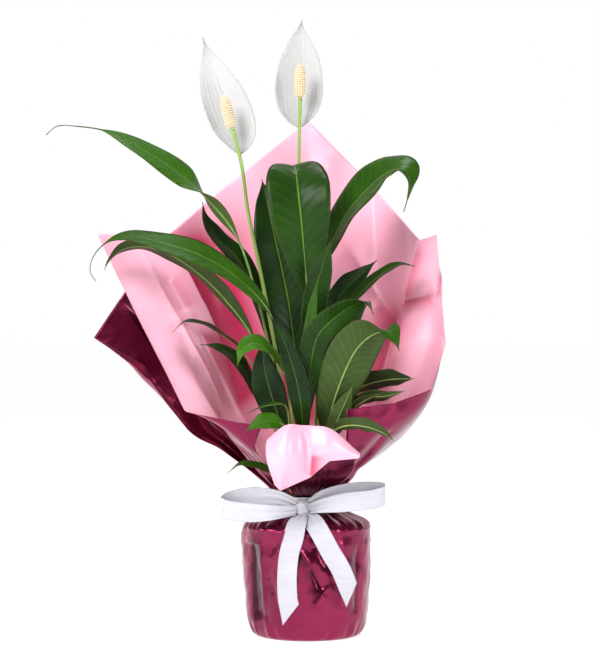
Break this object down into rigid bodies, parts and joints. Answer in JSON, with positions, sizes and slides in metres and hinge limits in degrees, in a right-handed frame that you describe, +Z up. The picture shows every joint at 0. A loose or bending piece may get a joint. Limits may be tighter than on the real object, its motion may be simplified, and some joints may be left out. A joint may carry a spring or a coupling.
{
  "type": "peace lily in a wrapper",
  "caption": "Potted peace lily with arching leaves and white hooded blooms, its pot dressed in gathered two-tone film tied with a satin bow.",
  "frame": {"origin": "centre of the flat underside of the wrapped pot", "axes": "+Z up through the pot, -Y to the front, where the bow is, +X to the right seen from the front"},
  "size_m": [0.3909, 0.2338, 0.6168],
  "materials": {
    "leaf": "living leaf, satin",
    "flower_stalk": "fresh stalk, smooth",
    "spathe": "white petal, soft matt",
    "spadix": "knobbly, matt",
    "growers_pot": "moulded, matt",
    "potting_soil": "damp potting mix",
    "film_skirt": "metallic magenta film, crumpled",
    "film_collar": "film, matt pink inside and metallic magenta outside",
    "ribbon": "white satin"
  },
  "bodies": {
    "root": {"bow_knot": "ribbon", "bow_loop_left": "ribbon", "bow_loop_right": "ribbon", "bow_tail_left": "ribbon", "bow_tail_right": "ribbon", "film_back_panel": "film_collar", "film_front_flap": "film_collar", "film_left_panel": "film_collar", "film_outer_panel": "film_collar", "film_right_panel": "film_collar", "flower_left_spadix": "spadix", "flower_left_spathe": "spathe", "flower_left_stalk": "flower_stalk", "flower_right_spadix": "spadix", "flower_right_spathe": "spathe", "flower_right_stalk": "flower_stalk", "growers_pot": "growers_pot", "leaf_back_left": "leaf", "leaf_centre_back": "leaf", "leaf_centre_large": "leaf", "leaf_centre_right": "leaf", "leaf_edge_on": "leaf", "leaf_front_left": "leaf", "leaf_front_right": "leaf", "leaf_front_strap": "leaf", "leaf_left_dark": "leaf", "leaf_left_lowest": "leaf", "leaf_left_shaded": "leaf", "leaf_left_sliver": "leaf", "leaf_left_small": "leaf", "leaf_left_thin": "leaf", "leaf_long_left": "leaf", "leaf_right_bent": "leaf", "leaf_right_large": "leaf", "leaf_right_low": "leaf", "leaf_right_narrow": "leaf", "leaf_right_shaded": "leaf", "leaf_right_small": "leaf", "leaf_right_striped": "leaf", "leaf_right_upper": "leaf", "leaf_top_left": "leaf", "leaf_top_right": "leaf", "leaf_under_left": "leaf", "leaf_young_centre": "leaf", "leaf_young_right": "leaf", "pot_wrap": "film_skirt", "potting_soil": "potting_soil", "ribbon_neck_band": "ribbon"}
  },
  "joints": []
}
